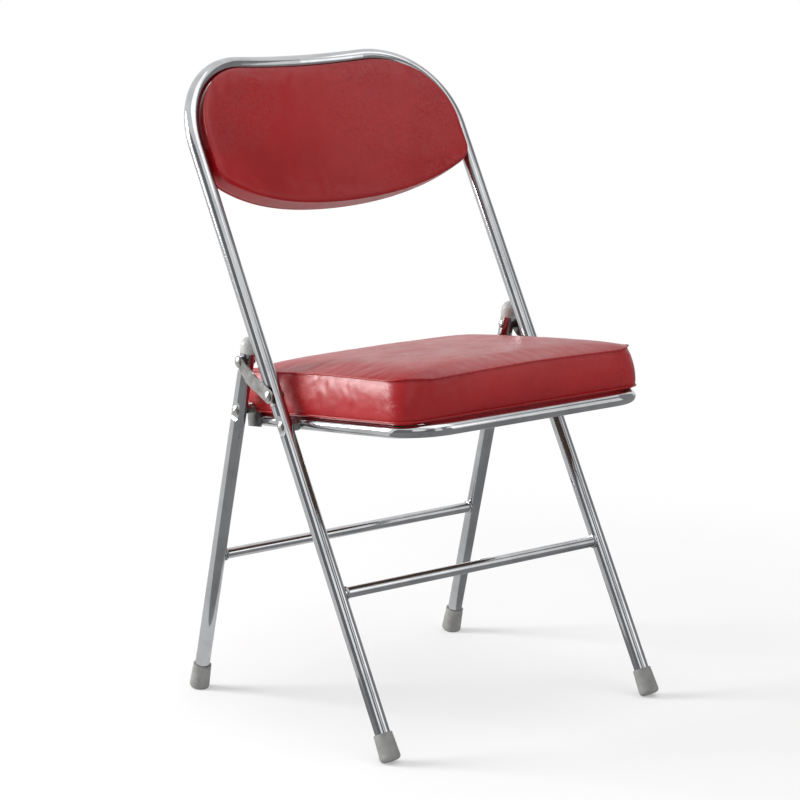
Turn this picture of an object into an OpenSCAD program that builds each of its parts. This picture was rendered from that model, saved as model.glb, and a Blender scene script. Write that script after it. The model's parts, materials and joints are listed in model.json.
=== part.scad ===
// Folding banquet chair: a bent tube frame with a padded back, a pair of rear
// legs, a padded seat and two link plates that make the fold.
// Millimetres, +Z up. The origin is on the floor under the middle of the chair,
// the sitter faces -Y, and left and right are the sitter's.

/* [Frame tubes] */
// Distance between the tube axes, left to right
frame_w = 428.3; // [400:1:470]
// Outside diameter of the frame and leg tubes
tube_od = 19.1; // [18:0.1:20]
// Wall of the frame and leg tubes
tube_wall = 1.2; // [1:0.1:1.8]
// Lean of the front frame from upright, degrees
front_lean = 28.9; // [28:0.1:30]
// Lean of the rear legs from upright, degrees
rear_lean = 14.2; // [13:0.1:15]
// Length of the front tubes' axis from the floor to the top rail
frame_length = 920.4; // [880:1:960]
// Bend radius of the hoop's corners
hoop_corner_r = 114.5; // [90:1:130]
// Angle by which the hoop's corners turn backwards, degrees
hoop_bow = 8; // [4:0.5:12]

// Height of the tubes' lower reference points above the floor
tip_h = 1.5; // [0.5:0.1:2.5]

/* [Stretchers] */
// Outside diameter of the stretchers
stretcher_od = 14; // [10:0.5:16]
// Wall of the stretchers
stretcher_wall = 1.2; // [1:0.1:1.8]
// Place of the front stretcher along the front tubes
front_stretcher_at = 212.7; // [120:1:300]
// Place of the rear stretcher along the rear legs
rear_stretcher_at = 191.2; // [100:1:280]
// Size of the weld beads round the stretcher ends
weld_r = 1.8; // [1:0.1:2.5]

/* [Pivots] */
// Seat pivot, measured along the front tube from the floor
seat_pivot_at = 431.6; // [428:0.5:436]
// Level distance from the seat pivot back to the seat's pivot on the rear leg
pivot_reach = 94.8; // [94:0.1:96]
// How far the seat's pivot on the rear leg stands above the seat pivot
pivot_rise = 5.2; // [4.5:0.1:6]
// Distance on the rear leg from the link pivot up to the middle of the cap's dome
link_end_reach = 21.1; // [20:0.1:22]
// Gap between the axes of the front tube and the folded rear leg at the seat pivot
folded_gap = 21.1; // [21:0.1:22]
// Radius of the pivot rivets' shanks
rivet_r = 3.2; // [2.5:0.1:3.5]
// Radius of the domed rivet heads
rivet_head_r = 6.3; // [5:0.1:6.6]
// Height of the domed rivet heads
rivet_head_h = 2.7; // [1.5:0.1:2.8]
// Half the length of the flats pressed into the tubes under the rivets
rivet_seat_reach = 7.2; // [7:0.1:9]
// Radius that eases the ends of the pressed flats
rivet_seat_ease = 9; // [6:0.5:14]
// Depth of the flats pressed into the tubes under the rivets
rivet_seat_depth = 3; // [2.9:0.1:3.5]

/* [Link plates] */
// Thickness of the link plates
link_t = 2; // [1.5:0.1:3]
// Radius of the link's eye at the front tube
link_front_eye_r = 8.8; // [7.5:0.1:10]
// Radius of the link's eye at the rear leg
link_rear_eye_r = 7.2; // [7:0.1:9]
// Distance from the link's centre line to its upper edge at the waist
link_waist = 6.4; // [5.5:0.1:8]
// Distance from the link's centre line to the lowest part of its belly
link_belly = 12.6; // [9:0.1:14]
// Step by which the link's rear part stands further out
link_joggle = 1.4; // [0.8:0.1:2]

/* [Seat frame] */
// Gap between the front tubes and the sides of the seat tube
seat_side_gap = 9.15; // [8.7:0.05:12]
// Outside diameter of the seat tube
seat_tube_od = 15.9; // [14:0.1:16]
// Wall of the seat tube
seat_tube_wall = 1.2; // [1:0.1:1.8]
// Seat tube from the pivot forward to the front rail's axis
seat_front_reach = 221.5; // [200:1:225]
// Seat tube from the pivot back to the rear rail's axis
seat_rear_reach = 104; // [100:1:112]
// Bend radius of the seat tube's front corners
seat_front_r = 54; // [40:1:60]
// Bend radius of the seat tube's rear corners
seat_rear_r = 30; // [24:1:40]
// Tilt of the seat, front edge up, degrees
seat_tilt = 5.9; // [4.5:0.1:7]
// Thickness of the ears that carry the rear pivots
ear_t = 2; // [1.6:0.1:3]

/* [Seat] */
// Thickness of the seat board
seat_board_t = 9; // [6:0.5:12]
// How far the cushion's lower edge stands outside the seat tube's side axes
cushion_side_reach = 7.5; // [6:0.1:8]
// How far the cushion's lower front edge stays behind the seat tube's front axis
cushion_front_setback = 8.9; // [2:0.1:14]
// How far the cushion's lower rear edge stands behind the seat tube's rear axis
cushion_rear_reach = 10; // [4:0.5:14]
// Height of the cushion's side, from its lower edge to the top seam
cushion_side_h = 50.9; // [35:1:58]
// Crown of the cushion above the top seam
cushion_crown = 12; // [6:0.5:16]
// Swell of the cushion's sides
cushion_swell = 2.5; // [1:0.5:3.5]
// How much narrower the top seam is than the lower edge, on each side
cushion_side_draw = 5.5; // [0:0.5:8]
// How far the top seam stands forward of the lower edge
cushion_front_lead = 4; // [0:0.5:8]
// How far the top seam stands behind the lower edge
cushion_rear_lead = 4; // [0:0.5:8]
// Corner radius of the cushion at the front
cushion_front_r = 32; // [24:1:50]
// Corner radius of the cushion at the rear
cushion_rear_r = 24; // [16:1:40]

/* [Backrest] */
// Height of the backrest at its middle
pad_h = 189; // [175:1:205]
// How far the backrest bows backwards at its middle
pad_sag = 37; // [28:1:42]
// Thickness of the backrest's front padding at its middle
pad_t = 13; // [9:0.5:16]
// Thickness of the backrest's board
back_board_t = 5; // [3:0.5:8]
// Thickness of the backrest's rear panel
back_panel_t = 5; // [3:0.5:8]
// Gap between the backrest and the hoop
pad_gap = 1.6; // [1:0.1:4]

/* [Feet and caps] */
// Radius of a foot at its top
foot_top_r = 11.7; // [11.2:0.1:12.5]
// Radius of a foot at its bottom
foot_low_r = 13; // [12.5:0.1:13.4]
// Length of a foot
foot_h = 34; // [26:1:40]
// Rounding of a foot's bottom edge
foot_round = 5; // [3:0.5:6]
// Rubber under the tube's end
foot_floor_t = 6; // [5:0.5:9]
// Wall of the caps on the rear legs
cap_wall = 0.9; // [0.7:0.1:1]
// Length of the cap's straight skirt
cap_skirt = 9; // [6:0.5:14]

/* [Hidden] */
$fn = 48;

// Clearances
fit_gap = 0.05;
turn_gap = 0.3;
overrun = 1;

// Tube sizes that follow
tube_r = tube_od / 2;
half_w = frame_w / 2;
seat_tube_r = seat_tube_od / 2;
stretcher_r = stretcher_od / 2;
// Link plate shares along its length
link_belly_share = 0.6;
link_belly_r = 10;
link_neck_turn = 35;
link_bend_share = 0.3;
link_bend_run = 7;
// Places along X, from the middle of the chair outwards
tube_inner_x = half_w - tube_r;
tube_outer_x = half_w + tube_r;
seat_half_w = tube_inner_x - seat_side_gap - seat_tube_r;
rivet_flat_x = tube_outer_x - rivet_seat_depth;
link_inner_x = tube_outer_x + turn_gap;
link_outer_x = link_inner_x + link_t;
seat_outer_x = seat_half_w + seat_tube_r;
seat_inner_x = seat_half_w - seat_tube_r;
ear_inner_x = seat_outer_x + fit_gap;
ear_outer_x = ear_inner_x + ear_t;

// Rear legs: their pivot's place and where they meet the floor
leg_pivot_at = (seat_pivot_at * cos(front_lean) + pivot_rise) / cos(rear_lean);
foot_spread = seat_pivot_at * sin(front_lean) + pivot_reach
    + leg_pivot_at * sin(rear_lean);
crossing = front_lean + rear_lean;

// Pivots in the front frame's plane: along the tube, then backwards from it
function frame_point(y, z) = [y * sin(front_lean) + z * cos(front_lean),
    y * cos(front_lean) - z * sin(front_lean)];
function leg_point(s) = frame_point(foot_spread - s * sin(rear_lean), s * cos(rear_lean));
seat_pivot = [seat_pivot_at, 0];
leg_pivot = leg_point(leg_pivot_at);
// The rear leg's cap ends just clear of the front tube
cap_r = tube_r + cap_wall;
cap_clear = tube_r + cap_r + turn_gap;
cap_centre_at = leg_pivot_at + (leg_pivot[1] - cap_clear) / sin(crossing);
link_pivot_rise = cap_centre_at - link_end_reach - leg_pivot_at;
link_leg_pivot = leg_point(leg_pivot_at + link_pivot_rise);
seat_arm = norm(leg_pivot - seat_pivot);
// The folded legs lie almost along the front tubes, a little further off at the feet
folded_lean = 0.5;
folded_leg_pivot = seat_pivot
    + [-sqrt(seat_arm * seat_arm - folded_gap * folded_gap), folded_gap];
folded_link_pivot = folded_leg_pivot
    + link_pivot_rise * [cos(folded_lean), -sin(folded_lean)];
// The link's pivot on the front tube is as far from the leg's pivot open as folded
open_reach = link_leg_pivot - seat_pivot;
folded_reach = folded_link_pivot - seat_pivot;
link_pivot_step = (open_reach * open_reach - folded_reach * folded_reach)
    / (2 * (open_reach[0] - folded_reach[0]));
link_pivot_at = seat_pivot_at + link_pivot_step;
link_vector = link_leg_pivot - [link_pivot_at, 0];
link_length = norm(link_vector);
link_angle = atan2(link_vector[1], link_vector[0]);

// Turns of the joints from open to folded, degrees
seat_turn = 180 - asin(folded_gap / seat_arm)
    - atan2(leg_pivot[1], leg_pivot[0] - seat_pivot_at);
leg_turn = front_lean + rear_lean - folded_lean - seat_turn;
folded_link = folded_link_pivot - [link_pivot_at, 0];
link_turn = atan2(folded_link[1], folded_link[0]) - link_angle;

// Hoop: corner bends in planes turned back by hoop_bow, then one bow across the top
hoop_start = frame_length - hoop_corner_r;
bow_half = half_w - hoop_corner_r * cos(hoop_bow);
bow_r = bow_half / sin(hoop_bow);
bow_centre = hoop_corner_r * sin(hoop_bow) - bow_r * cos(hoop_bow);
hoop_depth = bow_centre + bow_r;
bow_overlap = 1.1;

// Floor places, with the chair's box centred on the origin
pivot_fore = seat_pivot_at * sin(front_lean);
pivot_z = seat_pivot_at * cos(front_lean) + tip_h;
cushion_half_w = seat_half_w + cushion_side_reach;
cushion_front = seat_front_reach - cushion_front_setback;
cushion_rear = seat_rear_reach + cushion_rear_reach;
rail_nose = seat_front_reach * cos(seat_tilt) + seat_tube_r;
cushion_seam_z = seat_tube_r + cushion_side_h;
cushion_nose = (cushion_front + cushion_front_lead) * cos(seat_tilt)
    - cushion_seam_z * sin(seat_tilt);
front_reach = pivot_fore - max(rail_nose, cushion_nose);
rear_reach = frame_length * sin(front_lean) + hoop_depth * cos(front_lean) + tube_r;
front_foot_y = -(front_reach + rear_reach) / 2;
rear_foot_y = front_foot_y + foot_spread;

// Seat's own frame: pivot at its origin, +Y back along the seat
leg_pivot_y = rear_foot_y - leg_pivot_at * sin(rear_lean) - front_foot_y - pivot_fore;
leg_pivot_z = leg_pivot_at * cos(rear_lean) + tip_h - pivot_z;
ear_y = leg_pivot_y * cos(seat_tilt) - leg_pivot_z * sin(seat_tilt);
ear_z = leg_pivot_y * sin(seat_tilt) + leg_pivot_z * cos(seat_tilt);

// Feet: the bottom's turned rim is set so that its lowest part is ground flat
foot_flat_depth = 1.2;
foot_flat_r = foot_low_r - foot_round;
function foot_start(lean) = (foot_flat_r * sin(lean) + foot_round * (1 - cos(lean))
    - foot_flat_depth - tip_h) / cos(lean);
module in_front() {
    translate([0, front_foot_y, tip_h]) rotate([-front_lean, 0, 0]) children();
}

module in_rear() {
    translate([0, rear_foot_y, tip_h]) rotate([rear_lean, 0, 0]) children();
}

module in_seat() {
    translate([0, front_foot_y + pivot_fore, pivot_z]) rotate([-seat_tilt, 0, 0]) children();
}

// The pieces of one side, drawn for the sitter's left and mirrored for the right
module on_side(side) {
    mirror([side < 0 ? 1 : 0, 0, 0]) children();
}

module along_x(from, to, r) {
    translate([from, 0, 0]) rotate([0, 90, 0]) cylinder(h = to - from, r = r);
}

module pipe(length, od, wall) {
    difference() {
        cylinder(h = length, d = od);
        translate([0, 0, -overrun]) cylinder(h = length + 2 * overrun, d = od - 2 * wall);
    }
}

module pipe_ring(od, wall) {
    difference() {
        circle(d = od);
        circle(d = od - 2 * wall);
    }
}

module bend(r, angle, od, wall) {
    rotate_extrude(angle = angle, $fn = 96) translate([r, 0]) pipe_ring(od, wall);
}

// Profile of a flat pressed into a tube's outer side, with eased ends; a deeper one
// gives the inner face of the pressed wall. The tube's axis is at the origin
module press_profile(depth) {
    flat = tube_r - rivet_seat_depth;
    rotate([90, 0, 0]) translate([0, 0, -tube_od]) linear_extrude(2 * tube_od) {
        translate([flat - depth, -rivet_seat_reach])
            square([tube_od, 2 * rivet_seat_reach]);
        for (level = [-1, 1]) intersection() {
            translate([flat + rivet_seat_ease, level * rivet_seat_reach])
                circle(r = rivet_seat_ease + depth);
            translate([0, (level - 1) * tube_od]) square([tube_od, 2 * tube_od]);
        }
    }
}

module pressed_seat(turn) {
    intersection() {
        rotate([0, 0, turn]) press_profile(tube_wall);
        translate([0, 0, -tube_od]) cylinder(h = 2 * tube_od, r = tube_r);
    }
}

// Straight tube that stands at the origin, flattened and drilled for its rivets on the
// side that faces +X once turned
module pivot_tube(length, seats, bores, turn) {
    difference() {
        union() {
            pipe(length, tube_od, tube_wall);
            for (at = seats) translate([0, 0, at]) pressed_seat(turn);
        }
        for (at = seats) translate([0, 0, at]) rotate([0, 0, turn]) press_profile(0);
        for (at = bores) translate([0, 0, at]) rotate([0, 0, turn])
            along_x(-tube_od, tube_od, rivet_r + fit_gap);
    }
}

// One half of the hoop, cut on the middle plane. Its bends meet at one shared point,
// so that their ends fall exactly together
module hoop_half() {
    tube_low = foot_start(front_lean) + foot_floor_t;
    pivots = [hoop_start - seat_pivot_at, hoop_start - link_pivot_at];
    difference() {
        translate([bow_half, hoop_corner_r * sin(hoop_bow), frame_length])
            rotate([0, 0, -hoop_bow]) {
                rotate([90, 0, 0]) translate([0, -hoop_corner_r, 0])
                    bend(hoop_corner_r, 90, tube_od, tube_wall);
                translate([0, -bow_r, 0]) rotate([0, 0, 90])
                    bend(bow_r, bow_overlap * hoop_bow, tube_od, tube_wall);
                translate([hoop_corner_r, 0, -hoop_corner_r]) mirror([0, 0, 1])
                    pivot_tube(hoop_start - tube_low, pivots, pivots, hoop_bow);
            }
        translate([-frame_w, -frame_w, 0]) cube([frame_w, 2 * frame_w, 2 * frame_length]);
    }
}

module front_frame() {
    color("silver") in_front() for (side = [-1, 1]) on_side(side) hoop_half();
}

// A stretcher between two tubes, its ends shaped to them and ringed by weld
module stretcher() {
    bead_x = tube_inner_x - weld_r / 2;
    difference() {
        union() {
            difference() {
                along_x(-half_w, half_w, stretcher_r);
                along_x(-half_w - overrun, half_w + overrun, stretcher_r - stretcher_wall);
            }
            for (side = [-1, 1]) translate([side * bead_x, 0, 0]) rotate([0, 90, 0])
                rotate_extrude($fn = 64) translate([stretcher_r, 0]) circle(r = weld_r, $fn = 24);
        }
        for (side = [-1, 1]) translate([side * half_w, 0, -tube_od])
            cylinder(h = 2 * tube_od, r = tube_r + fit_gap);
        along_x(-half_w, half_w, stretcher_r - stretcher_wall);
    }
}

module front_stretcher() {
    color("silver") in_front() translate([0, 0, front_stretcher_at]) stretcher();
}

module rear_stretcher() {
    color("silver") in_rear() translate([0, 0, rear_stretcher_at]) stretcher();
}

module rear_leg(side) {
    tube_low = foot_start(rear_lean) + foot_floor_t;
    pivot = leg_pivot_at - tube_low;
    color("silver") in_rear() on_side(side) translate([half_w, 0, tube_low])
        pivot_tube(cap_centre_at - tube_low, [pivot, pivot + link_pivot_rise], [pivot], 0);
}

// Domed plastic cap over the leg's top end
module rear_cap(side) {
    color("gainsboro") in_rear() on_side(side) translate([half_w, 0, cap_centre_at]) {
        difference() {
            union() {
                translate([0, 0, -cap_skirt]) cylinder(h = cap_skirt, r = cap_r);
                difference() {
                    sphere(r = cap_r);
                    translate([0, 0, -cap_r]) cube(2 * cap_r, center = true);
                }
            }
            translate([0, 0, -cap_skirt - overrun])
                cylinder(h = cap_skirt + overrun + fit_gap, r = tube_r + fit_gap);
        }
    }
}

// Outline of half a foot, from its axis out, bottom at zero
module foot_profile() {
    straight_h = foot_h - foot_round;
    difference() {
        union() {
            polygon([[0, foot_round], [foot_low_r, foot_round], [foot_top_r, foot_h],
                [0, foot_h]]);
            square([foot_flat_r, foot_round]);
            translate([foot_flat_r, foot_round]) intersection() {
                circle(r = foot_round);
                translate([0, -foot_round]) square(foot_round);
            }
        }
        translate([0, foot_floor_t]) square([tube_r + fit_gap, straight_h + foot_round]);
    }
}

module foot(lean) {
    translate([half_w, 0, foot_start(lean)]) rotate_extrude($fn = 64) foot_profile();
}

// What stands below the floor is ground off, which leaves the flat it rests on
module ground_flat() {
    difference() {
        children();
        translate([-frame_w, -frame_length, -foot_h])
            cube([2 * frame_w, 2 * frame_length, foot_h]);
    }
}

module front_foot(side) {
    color("gray") ground_flat() in_front() on_side(side) foot(front_lean);
}

module rear_foot(side) {
    color("gray") ground_flat() in_rear() on_side(side) foot(rear_lean);
}

// Half outline of a domed head: a short rim, then the dome, from level up
head_rim_share = 0.25;

module dome_profile(r, h, level) {
    rim = head_rim_share * h;
    rise = h - rim;
    dome_r = (r * r + rise * rise) / (2 * rise);
    translate([0, level]) square([r, rim]);
    intersection() {
        translate([0, level + h - dome_r]) circle(r = dome_r, $fn = 96);
        translate([0, level + rim]) square([r, rise]);
    }
}

module turned_x(x) {
    translate([x, 0, 0]) rotate([0, 90, 0]) rotate_extrude() children();
}

rivet_tail_r = 5;
rivet_tail_h = 1.9;

// Rivet with its head outside at head_x and its tail's flat side at tail_x
module rivet(head_x, tail_x) {
    turned_x(tail_x) {
        dome_profile(rivet_head_r, rivet_head_h, head_x - tail_x);
        square([rivet_r, head_x - tail_x]);
        mirror([0, 1]) dome_profile(rivet_tail_r, rivet_tail_h, 0);
    }
}

module link_pivot_rivets() {
    color("lightgray") in_front() for (side = [-1, 1]) on_side(side)
        translate([0, 0, link_pivot_at])
        rivet(link_outer_x + turn_gap, tube_inner_x - fit_gap);
}

module seat_pivot_rivets() {
    color("lightgray") in_front() for (side = [-1, 1]) on_side(side)
        translate([0, 0, seat_pivot_at])
        rivet(rivet_flat_x + fit_gap, seat_inner_x - turn_gap);
}

module leg_pivot_rivets() {
    color("lightgray") in_rear() for (side = [-1, 1]) on_side(side)
        translate([0, 0, leg_pivot_at])
        rivet(rivet_flat_x + turn_gap, ear_inner_x - fit_gap);
}

washer_r = 6.9;

module washer(from, to) {
    difference() {
        along_x(from, to, washer_r);
        along_x(from - overrun, to + overrun, rivet_r + fit_gap);
    }
}

module link_pivot_washers() {
    color("black") in_front() for (side = [-1, 1]) on_side(side)
        translate([0, 0, link_pivot_at]) washer(rivet_flat_x + fit_gap, tube_outer_x);
}

module leg_washers() {
    color("black") in_rear() for (side = [-1, 1]) on_side(side)
        translate([0, 0, leg_pivot_at + link_pivot_rise])
        washer(rivet_flat_x + fit_gap, tube_outer_x + link_joggle);
}

// Tails of the upper rivets, on the inner side of the rear legs
module leg_rivet_tails() {
    color("lightgray") in_rear() for (side = [-1, 1]) on_side(side)
        translate([0, 0, leg_pivot_at + link_pivot_rise]) turned_x(tube_inner_x - fit_gap)
        mirror([0, 1]) dome_profile(rivet_tail_r, rivet_tail_h, 0);
}

seat_spacer_r = 8;

// Spacer between the front tube and the seat tube, shaped to the front tube
module seat_pivot_spacers() {
    color("darkgray") in_front() for (side = [-1, 1]) on_side(side)
        translate([0, 0, seat_pivot_at]) difference() {
            along_x(seat_outer_x + turn_gap, half_w, seat_spacer_r);
            along_x(seat_outer_x - overrun, half_w + overrun, rivet_r + fit_gap);
            translate([half_w, 0, -tube_od]) cylinder(h = 2 * tube_od, r = tube_r + fit_gap);
        }
}

leg_spacer_r = 6;

// Spacer between the rear leg and the seat's ear
module leg_pivot_spacers() {
    color("darkgray") in_rear() for (side = [-1, 1]) on_side(side)
        translate([0, 0, leg_pivot_at]) difference() {
            along_x(ear_outer_x + fit_gap, tube_inner_x - turn_gap, leg_spacer_r);
            along_x(ear_outer_x - overrun, tube_inner_x + overrun, rivet_r + fit_gap);
        }
}

// Link plate: an eye at each end and a belly on its lower edge. The outline's +X
// runs along the link, its +Y to the belly
module link_outline() {
    belly_x = link_belly_share * link_length;
    belly_y = link_belly - link_belly_r;
    neck = link_rear_eye_r * cos(link_neck_turn);
    difference() {
        union() {
            circle(r = link_front_eye_r);
            translate([link_length, 0]) circle(r = link_rear_eye_r);
            translate([belly_x, belly_y]) circle(r = link_belly_r);
            polygon([[0, -link_front_eye_r],
                [belly_x, -link_waist], [link_length, -link_rear_eye_r],
                [link_length + link_rear_eye_r * sin(link_neck_turn), neck],
                [belly_x + link_belly_r * sin(link_neck_turn),
                    belly_y + link_belly_r * cos(link_neck_turn)],
                [belly_x, link_belly], [0, link_front_eye_r]]);
        }
        circle(r = rivet_r + fit_gap);
        translate([link_length, 0]) circle(r = rivet_r + fit_gap);
    }
}

// Edge view of the link: the part by the rear leg stands further out
module link_edge() {
    start = -link_front_eye_r - overrun;
    bend_from = link_bend_share * link_length;
    bend_to = bend_from + link_bend_run;
    end = link_length + link_rear_eye_r + overrun;
    outer = link_joggle + link_t;
    polygon([[start, 0], [bend_from, 0], [bend_to, link_joggle], [end, link_joggle],
        [end, outer], [bend_to, outer], [bend_from, link_t], [start, link_t]]);
}

module link(side) {
    color("silver") in_front() on_side(side) translate([link_inner_x, 0, link_pivot_at])
        rotate([-link_angle, 0, 0]) rotate([90, 0, 90]) rotate([0, 0, 90]) mirror([0, 1, 0])
        intersection() {
            linear_extrude(link_joggle + link_t) link_outline();
            translate([0, 2 * link_belly, 0]) rotate([90, 0, 0])
                linear_extrude(4 * link_belly) link_edge();
        }
}

// Upper rivet of a link: it turns with the link and ends clear of the leg
module link_rivet(side) {
    color("lightgray") in_rear() on_side(side)
        translate([0, 0, leg_pivot_at + link_pivot_rise])
        turned_x(link_inner_x + link_joggle) {
            square([rivet_r, link_t + fit_gap]);
            dome_profile(rivet_head_r, rivet_head_h, link_t + fit_gap);
        }
}

// Seat tube: a closed loop of one tube. Each piece starts in the frame that the last
// one ends in, so that their ends fall exactly together, and the half is cut on the
// middle plane
module seat_loop_half() {
    straight = seat_front_reach + seat_rear_reach - seat_front_r - seat_rear_r;
    difference() {
        translate([seat_half_w, seat_front_r - seat_front_reach, 0]) {
            rotate([-90, 0, 0]) pipe(straight, seat_tube_od, seat_tube_wall);
            translate([-seat_front_r, 0, 0]) {
                rotate([0, 0, -90]) bend(seat_front_r, 90, seat_tube_od, seat_tube_wall);
                translate([0, -seat_front_r, 0]) rotate([0, -90, 0])
                    pipe(seat_half_w, seat_tube_od, seat_tube_wall);
            }
            translate([0, straight, 0]) translate([-seat_rear_r, 0, 0]) {
                bend(seat_rear_r, 90, seat_tube_od, seat_tube_wall);
                translate([0, seat_rear_r, 0]) rotate([0, -90, 0])
                    pipe(seat_half_w, seat_tube_od, seat_tube_wall);
            }
        }
        translate([-frame_w, -frame_length, -seat_tube_od])
            cube([frame_w, 2 * frame_length, 2 * seat_tube_od]);
        along_x(seat_inner_x - overrun, seat_outer_x + overrun, rivet_r + fit_gap);
    }
}

module seat_frame() {
    color("silver") in_seat() for (side = [-1, 1]) on_side(side) seat_loop_half();
}

// Ear welded to the outside of the seat tube: a foot on the tube, an eye above it
ear_eye_r = 7.5;
ear_corner_r = 9;
ear_fore = 19;
ear_aft = 7;
ear_bead_r = 1.3;

module ear_outline() {
    bottom = -seat_tube_r;
    shoulder = seat_tube_r - overrun;
    difference() {
        union() {
            translate([ear_y, ear_z]) circle(r = ear_eye_r);
            translate([ear_y - ear_fore + ear_corner_r, shoulder - ear_corner_r / 2])
                circle(r = ear_corner_r);
            polygon([[ear_y - ear_fore, bottom], [ear_y + ear_aft, bottom],
                [ear_y + ear_eye_r, ear_z],
                [ear_y - ear_eye_r * sin(45), ear_z + ear_eye_r * cos(45)],
                [ear_y - ear_fore + ear_corner_r, shoulder + ear_corner_r / 2],
                [ear_y - ear_fore, shoulder - ear_corner_r / 2]]);
        }
        translate([ear_y, ear_z]) circle(r = rivet_r + fit_gap);
    }
}

module seat_ear(side) {
    bead_length = ear_fore + ear_aft;
    color("silver") in_seat() on_side(side) {
        translate([ear_inner_x, 0, 0]) rotate([90, 0, 90]) linear_extrude(ear_t) ear_outline();
        difference() {
            for (level = [-1, 1])
                translate([ear_inner_x, ear_y - ear_fore, level * seat_tube_r / 2])
                rotate([-90, 0, 0]) cylinder(h = bead_length, r = ear_bead_r, $fn = 24);
            translate([seat_half_w, ear_y - ear_fore - overrun, 0]) rotate([-90, 0, 0])
                cylinder(h = bead_length + 2 * overrun, r = seat_tube_r + fit_gap);
            translate([ear_inner_x, ear_y - ear_fore - overrun, -seat_tube_od])
                cube([ear_t + ear_bead_r, bead_length + 2 * overrun, 2 * seat_tube_od]);
        }
    }
}

// Rounded plate in the seat's plane, inset from the cushion's lower outline
module seat_plate(inset, thickness) {
    half = cushion_half_w - inset;
    front_r = cushion_front_r - inset;
    rear_r = cushion_rear_r - inset;
    linear_extrude(thickness) {
        for (side = [-1, 1]) {
            translate([side * (half - front_r), inset + front_r - cushion_front])
                circle(r = front_r);
            translate([side * (half - rear_r), cushion_rear - inset - rear_r])
                circle(r = rear_r);
        }
        translate([-half, inset + front_r - cushion_front])
            square([2 * half, cushion_front + cushion_rear - 2 * inset - front_r - rear_r]);
        translate([front_r - half, inset - cushion_front])
            square([2 * (half - front_r), front_r]);
        translate([rear_r - half, cushion_rear - inset - rear_r])
            square([2 * (half - rear_r), rear_r]);
    }
}

// Tabs inside the seat tube that the board is screwed down to
seat_tab_t = 2;
seat_tab_l = 24;
seat_tab_w = 18;
seat_tab_shares = [-0.62, 0.42];
screw_r = 2;
screw_head_r = 4.2;
screw_head_h = 2.4;
screw_grip = 6;
board_z = seat_tube_r + fit_gap;

module at_seat_screws() {
    for (side = [-1, 1]) for (share = seat_tab_shares)
        on_side(side) translate([seat_inner_x - seat_tab_w / 2,
            share < 0 ? -share * -seat_front_reach : share * seat_rear_reach, 0]) children();
}

module seat_tabs() {
    color("silver") in_seat() difference() {
        at_seat_screws() translate([-seat_tab_w / 2, -seat_tab_l / 2,
            seat_tube_r - seat_tab_t]) cube([seat_tab_w + seat_tube_r, seat_tab_l, seat_tab_t]);
        at_seat_screws() cylinder(h = seat_tube_od, r = screw_r + fit_gap);
        for (side = [-1, 1]) translate([side * seat_half_w, -seat_front_reach, 0])
            rotate([-90, 0, 0]) cylinder(h = seat_front_reach + seat_rear_reach,
                r = seat_tube_r + fit_gap);
    }
}

// Pan head screw standing on its head: the head's flat at zero, the shank above
module pan_screw(grip) {
    rotate_extrude() {
        square([screw_r, grip]);
        mirror([0, 1]) dome_profile(screw_head_r, screw_head_h, 0);
    }
}

module seat_screws() {
    color("lightgray") in_seat() at_seat_screws()
        translate([0, 0, seat_tube_r - seat_tab_t - fit_gap]) pan_screw(seat_tab_t + screw_grip);
}

board_inset = 6;

module seat_board() {
    color("tan") in_seat() difference() {
        translate([0, 0, board_z]) seat_plate(board_inset, seat_board_t);
        at_seat_screws() cylinder(h = board_z + screw_grip + overrun, r = screw_r + fit_gap);
    }
}

// Seat cushion: rings of one rounded outline, from the board's recess round the
// lower edge, up the swelling side, over the seam and in to a broad crown
corner_steps = 6;
side_steps = 6;
cushion_lip_gap = 0.4;
cushion_low_z = seat_tube_r + cushion_lip_gap;
seam_lift = 3.7;
crown_power = 5;
side_shares = [0.05, 0.2, 0.45, 0.7, 0.9];
crown_shares = [0.98, 0.945, 0.89, 0.81, 0.68, 0.45, 0.2];
top_half_w = cushion_half_w - cushion_side_draw;
top_front = cushion_front + cushion_front_lead;
top_rear = cushion_rear + cushion_rear_lead;
top_mid_y = (top_rear - top_front) / 2;
top_half_y = (top_rear + top_front) / 2;

function arc_points(cx, cy, r, start) = [for (i = [0:corner_steps])
    [cx + r * cos(start + 90 * i / corner_steps), cy + r * sin(start + 90 * i / corner_steps)]];
function between(a, b) = [for (i = [1:side_steps - 1]) a + (b - a) * i / side_steps];
function seat_ring(half, fore, aft, inset) = let(
        fr = cushion_front_r - inset,
        rr = cushion_rear_r - inset,
        p = arc_points(half - fr, fr - fore, fr, 270),
        q = arc_points(half - rr, aft - rr, rr, 0),
        s = arc_points(rr - half, aft - rr, rr, 90),
        t = arc_points(fr - half, fr - fore, fr, 180))
    concat(p, between(p[corner_steps], q[0]), q, between(q[corner_steps], s[0]), s,
        between(s[corner_steps], t[0]), t, between(t[corner_steps], p[0]));
ring_count = 4 * (corner_steps + side_steps);
function across(p) = min(1, abs(p[0]) / top_half_w);
function lengthwise(p) = min(1, abs(p[1] - top_mid_y) / top_half_y);
function flat_level(inset, z) = [for (p = seat_ring(cushion_half_w - inset,
    cushion_front - inset, cushion_rear - inset, inset)) [p[0], p[1], z]];
function side_level(share) = let(swell = cushion_swell * sin(180 * share))
    [for (p = seat_ring(cushion_half_w - cushion_side_draw * share + swell,
        cushion_front + cushion_front_lead * share + swell,
        cushion_rear + cushion_rear_lead * share + swell, 0))
        [p[0], p[1], cushion_low_z + cushion_side_h * share
            + seam_lift * share * (1 - across(p) * lengthwise(p))]];
function crown_z(p) = cushion_crown * (1 - pow(across(p), crown_power))
    * (1 - pow(lengthwise(p), crown_power));
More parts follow.
